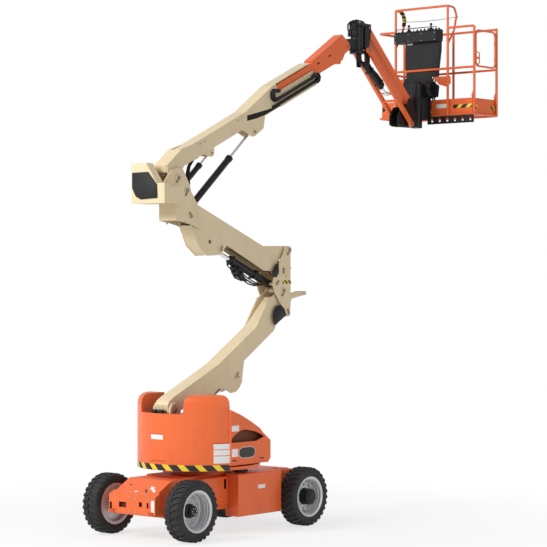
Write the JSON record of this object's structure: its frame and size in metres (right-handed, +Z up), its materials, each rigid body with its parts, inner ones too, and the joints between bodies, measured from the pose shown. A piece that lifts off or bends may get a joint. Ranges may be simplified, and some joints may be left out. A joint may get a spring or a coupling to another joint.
{
  "type": "articulating boom lift",
  "caption": "Electric articulating boom lift in orange and cream: two riser booms, a telescopic main boom and a jib carrying a railed platform.",
  "frame": {"origin": "on the ground under the machine, midway between the two axles and between the wheels", "axes": "+X from the steered axle toward the drive axle and the platform, +Y toward the machine's left wheels, +Z up"},
  "size_m": [6.4065, 1.5875, 6.6499],
  "materials": {
    "orange_paint": "gloss",
    "cream_paint": "gloss",
    "black_paint": "satin",
    "bronze_paint": "satin",
    "black_plastic": "matte",
    "chrome_rod": "polished",
    "tyre_rubber": "matte",
    "silver_rim": "satin"
  },
  "bodies": {
    "chassis": {"chassis_frame": "orange_paint", "side_boxes": "orange_paint", "service_panels": "orange_paint"},
    "steer_knuckle_left": {"steer_knuckle_left": "black_paint"},
    "steer_knuckle_right": {"steer_knuckle_right": "black_paint"},
    "tie_rod": {"tie_rod": "black_paint"},
    "turntable": {"turntable_frame": "orange_paint", "rear_hood": "orange_paint", "side_covers": "orange_paint", "swing_drive": "black_paint"},
    "lower_boom": {"lower_boom": "cream_paint"},
    "lower_timing_link": {"lower_timing_link": "cream_paint"},
    "mid_upright": {"mid_upright": "cream_paint"},
    "mid_boom": {"mid_boom": "cream_paint"},
    "upper_timing_link": {"upper_timing_link": "bronze_paint"},
    "upper_upright": {"upper_upright": "cream_paint", "upright_counterweight": "cream_paint"},
    "main_boom": {"main_boom": "cream_paint", "cable_carrier": "black_plastic"},
    "fly_boom": {"fly_boom": "orange_paint"},
    "jib_base": {"jib_base": "black_paint"},
    "jib_head": {"jib_head": "black_paint"},
    "jib_lower_link": {"jib_lower_link": "orange_paint"},
    "jib_upper_link": {"jib_upper_link": "orange_paint"},
    "platform_support": {"platform_support": "black_paint"},
    "platform": {"platform_bracket": "black_paint", "platform_rear_frame": "orange_paint", "platform_side_rails": "orange_paint", "platform_front_frame": "orange_paint", "platform_floor": "orange_paint", "platform_console": "black_plastic"},
    "platform_gate": {"platform_gate": "orange_paint"},
    "steer_wheel_left": {"steer_tyre_left": "tyre_rubber", "steer_rim_left": "silver_rim"},
    "steer_wheel_right": {"steer_tyre_right": "tyre_rubber", "steer_rim_right": "silver_rim"},
    "drive_wheel_left": {"drive_tyre_left": "tyre_rubber", "drive_rim_left": "silver_rim"},
    "drive_wheel_right": {"drive_tyre_right": "tyre_rubber", "drive_rim_right": "silver_rim"},
    "lower_lift_barrel": {"lower_lift_barrel": "black_paint"},
    "lower_lift_rod": {"lower_lift_rod": "chrome_rod"},
    "mid_lift_barrel": {"mid_lift_barrel": "black_paint"},
    "mid_lift_rod": {"mid_lift_rod": "chrome_rod"},
    "main_lift_barrel": {"main_lift_barrel": "black_paint"},
    "main_lift_rod": {"main_lift_rod": "chrome_rod"},
    "level_barrel": {"level_barrel": "black_paint"},
    "level_rod": {"level_rod": "chrome_rod"},
    "jib_lift_barrel": {"jib_lift_barrel": "black_paint"},
    "jib_lift_rod": {"jib_lift_rod": "chrome_rod"}
  },
  "joints": [
    {"name": "turntable_swing", "type": "hinge", "parent": "chassis", "child": "turntable", "pos_m": [-0.12, 0, 0.74], "axis": [0, 0, 1], "range_deg": [-180, 180]},
    {"name": "lower_boom_lift", "type": "hinge", "parent": "turntable", "child": "lower_boom", "pos_m": [-0.72, 0, 1.46], "axis": [0, -1, 0], "range_deg": [-40, 30]},
    {"name": "lower_timing", "type": "hinge", "parent": "turntable", "child": "lower_timing_link", "pos_m": [-0.626, 0, 1.184], "axis": [0, -1, 0], "range_deg": [-40, 30]},
    {"name": "mid_upright_level", "type": "hinge", "parent": "lower_boom", "child": "mid_upright", "pos_m": [1.243, 0, 2.822], "axis": [0, -1, 0], "range_deg": [-30, 40]},
    {"name": "mid_boom_lift", "type": "hinge", "parent": "mid_upright", "child": "mid_boom", "pos_m": [1.349, 0, 3.322], "axis": [0, 1, 0], "range_deg": [-12, 40]},
    {"name": "upper_timing", "type": "hinge", "parent": "mid_upright", "child": "upper_timing_link", "pos_m": [1.237, 0, 3.049], "axis": [0, 1, 0], "range_deg": [-12, 40]},
    {"name": "upper_upright_level", "type": "hinge", "parent": "mid_boom", "child": "upper_upright", "pos_m": [-0.516, 0, 4], "axis": [0, 1, 0], "range_deg": [-40, 12]},
    {"name": "main_boom_lift", "type": "hinge", "parent": "upper_upright", "child": "main_boom", "pos_m": [-0.662, 0, 4.142], "axis": [0, -1, 0], "range_deg": [-24.7, 50]},
    {"name": "telescope", "type": "slide", "parent": "main_boom", "child": "fly_boom", "axis": [0.9085, 0, 0.4179], "range_m": [0, 1]},
    {"name": "jib_level", "type": "hinge", "parent": "fly_boom", "child": "jib_base", "pos_m": [2.62, 0, 5.95], "axis": [0, -1, 0], "range_deg": [-50, 24.7]},
    {"name": "jib_swing", "type": "hinge", "parent": "jib_base", "child": "jib_head", "pos_m": [2.902, 0, 6.08], "axis": [0, 0, 1], "range_deg": [-90, 90]},
    {"name": "jib_lift", "type": "hinge", "parent": "jib_head", "child": "jib_lower_link", "pos_m": [3, 0, 5.93], "axis": [0, -1, 0], "range_deg": [-16, 94]},
    {"name": "jib_timing", "type": "hinge", "parent": "jib_head", "child": "jib_upper_link", "pos_m": [3.062, 0, 6.234], "axis": [0, -1, 0], "range_deg": [-16, 94]},
    {"name": "platform_level", "type": "hinge", "parent": "jib_lower_link", "child": "platform_support", "pos_m": [3.93, 0, 5.03], "axis": [0, -1, 0], "range_deg": [-94, 16]},
    {"name": "platform_rotate", "type": "hinge", "parent": "platform_support", "child": "platform", "pos_m": [4.22, 0, 5.4], "axis": [0, 0, 1], "range_deg": [-90, 90]},
    {"name": "gate_swing", "type": "hinge", "parent": "platform", "child": "platform_gate", "pos_m": [4.962, -0.77, 5.85], "axis": [0, 0, -1], "range_deg": [0, 90]},
    {"name": "steer_left", "type": "hinge", "parent": "chassis", "child": "steer_knuckle_left", "pos_m": [-1.005, 0.5, 0.355], "axis": [0, 0, 1], "range_deg": [-30, 30]},
    {"name": "steer_right", "type": "hinge", "parent": "chassis", "child": "steer_knuckle_right", "pos_m": [-1.005, -0.5, 0.355], "axis": [0, 0, 1], "range_deg": [-30, 30]},
    {"name": "tie_rod_pin", "type": "hinge", "parent": "steer_knuckle_left", "child": "tie_rod", "pos_m": [-0.875, 0.5, 0.244], "axis": [0, 0, 1], "range_deg": [-30, 30]},
    {"name": "steer_wheel_left_spin", "type": "hinge", "parent": "steer_knuckle_left", "child": "steer_wheel_left", "pos_m": [-1.005, 0.6425, 0.354], "axis": [0, 1, 0], "continuous": true},
    {"name": "steer_wheel_right_spin", "type": "hinge", "parent": "steer_knuckle_right", "child": "steer_wheel_right", "pos_m": [-1.005, -0.6425, 0.354], "axis": [0, 1, 0], "continuous": true},
    {"name": "drive_wheel_left_spin", "type": "hinge", "parent": "chassis", "child": "drive_wheel_left", "pos_m": [1.005, 0.6425, 0.354], "axis": [0, 1, 0], "continuous": true},
    {"name": "drive_wheel_right_spin", "type": "hinge", "parent": "chassis", "child": "drive_wheel_right", "pos_m": [1.005, -0.6425, 0.354], "axis": [0, 1, 0], "continuous": true},
    {"name": "lower_lift_barrel_pin", "type": "hinge", "parent": "turntable", "child": "lower_lift_barrel", "pos_m": [-0.62, 0, 1.01], "axis": [0, -1, 0], "range_deg": [-35.8, 26.8]},
    {"name": "lower_lift_stroke", "type": "slide", "parent": "lower_lift_barrel", "child": "lower_lift_rod", "axis": [0.7906, 0, 0.6123], "range_m": [-0.2989, 0.2247]},
    {"name": "mid_lift_barrel_pin", "type": "hinge", "parent": "mid_upright", "child": "mid_lift_barrel", "pos_m": [1.11, 0, 2.908], "axis": [0, -1, 0], "range_deg": [-38.5, 11.6]},
    {"name": "mid_lift_stroke", "type": "slide", "parent": "mid_lift_barrel", "child": "mid_lift_rod", "axis": [-0.9262, 0, 0.3771], "range_m": [-0.1001, 0.3289]},
    {"name": "main_lift_barrel_pin", "type": "hinge", "parent": "upper_upright", "child": "main_lift_barrel", "pos_m": [-0.447, 0, 3.7], "axis": [0, -1, 0], "range_deg": [-21.6, 43.6]},
    {"name": "main_lift_stroke", "type": "slide", "parent": "main_lift_barrel", "child": "main_lift_rod", "axis": [0.7568, 0, 0.6536], "range_m": [-0.1834, 0.3692]},
    {"name": "level_barrel_pin", "type": "hinge", "parent": "upper_upright", "child": "level_barrel", "pos_m": [-0.516, 0, 4], "axis": [0, -1, 0], "range_deg": [-23.8, 48]},
    {"name": "level_stroke", "type": "slide", "parent": "level_barrel", "child": "level_rod", "axis": [0.7589, 0, 0.6513], "range_m": [-0.0859, 0.1717]},
    {"name": "jib_lift_barrel_pin", "type": "hinge", "parent": "jib_head", "child": "jib_lift_barrel", "pos_m": [3.03, 0, 5.763], "axis": [0, -1, 0], "range_deg": [-16.7, 97.5]},
    {"name": "jib_lift_stroke", "type": "slide", "parent": "jib_lift_barrel", "child": "jib_lift_rod", "axis": [0.8202, 0, -0.5721], "range_m": [-0.0451, 0.2554]}
  ],
  "couplings": [
    {"joint": "lower_timing", "follows": "lower_boom_lift", "ratio": 1},
    {"joint": "mid_upright_level", "follows": "lower_boom_lift", "ratio": -1},
    {"joint": "upper_timing", "follows": "mid_boom_lift", "ratio": 1},
    {"joint": "upper_upright_level", "follows": "mid_boom_lift", "ratio": -1},
    {"joint": "jib_level", "follows": "main_boom_lift", "ratio": -1},
    {"joint": "jib_timing", "follows": "jib_lift", "ratio": 1},
    {"joint": "platform_level", "follows": "jib_lift", "ratio": -1},
    {"joint": "steer_right", "follows": "steer_left", "ratio": 1},
    {"joint": "tie_rod_pin", "follows": "steer_left", "ratio": -1},
    {"joint": "lower_lift_barrel_pin", "follows": "lower_boom_lift", "ratio": 0.89141},
    {"joint": "lower_lift_stroke", "follows": "lower_boom_lift", "m_per_rad": 0.42533},
    {"joint": "mid_lift_barrel_pin", "follows": "mid_boom_lift", "ratio": -0.96013},
    {"joint": "mid_lift_stroke", "follows": "mid_boom_lift", "m_per_rad": 0.4682},
    {"joint": "main_lift_barrel_pin", "follows": "main_boom_lift", "ratio": 0.87016},
    {"joint": "main_lift_stroke", "follows": "main_boom_lift", "m_per_rad": 0.42076},
    {"joint": "level_barrel_pin", "follows": "main_boom_lift", "ratio": 0.959},
    {"joint": "level_stroke", "follows": "main_boom_lift", "m_per_rad": 0.19452},
    {"joint": "jib_lift_barrel_pin", "follows": "jib_lift", "ratio": 1.036},
    {"joint": "jib_lift_stroke", "follows": "jib_lift", "m_per_rad": 0.15446}
  ]
}
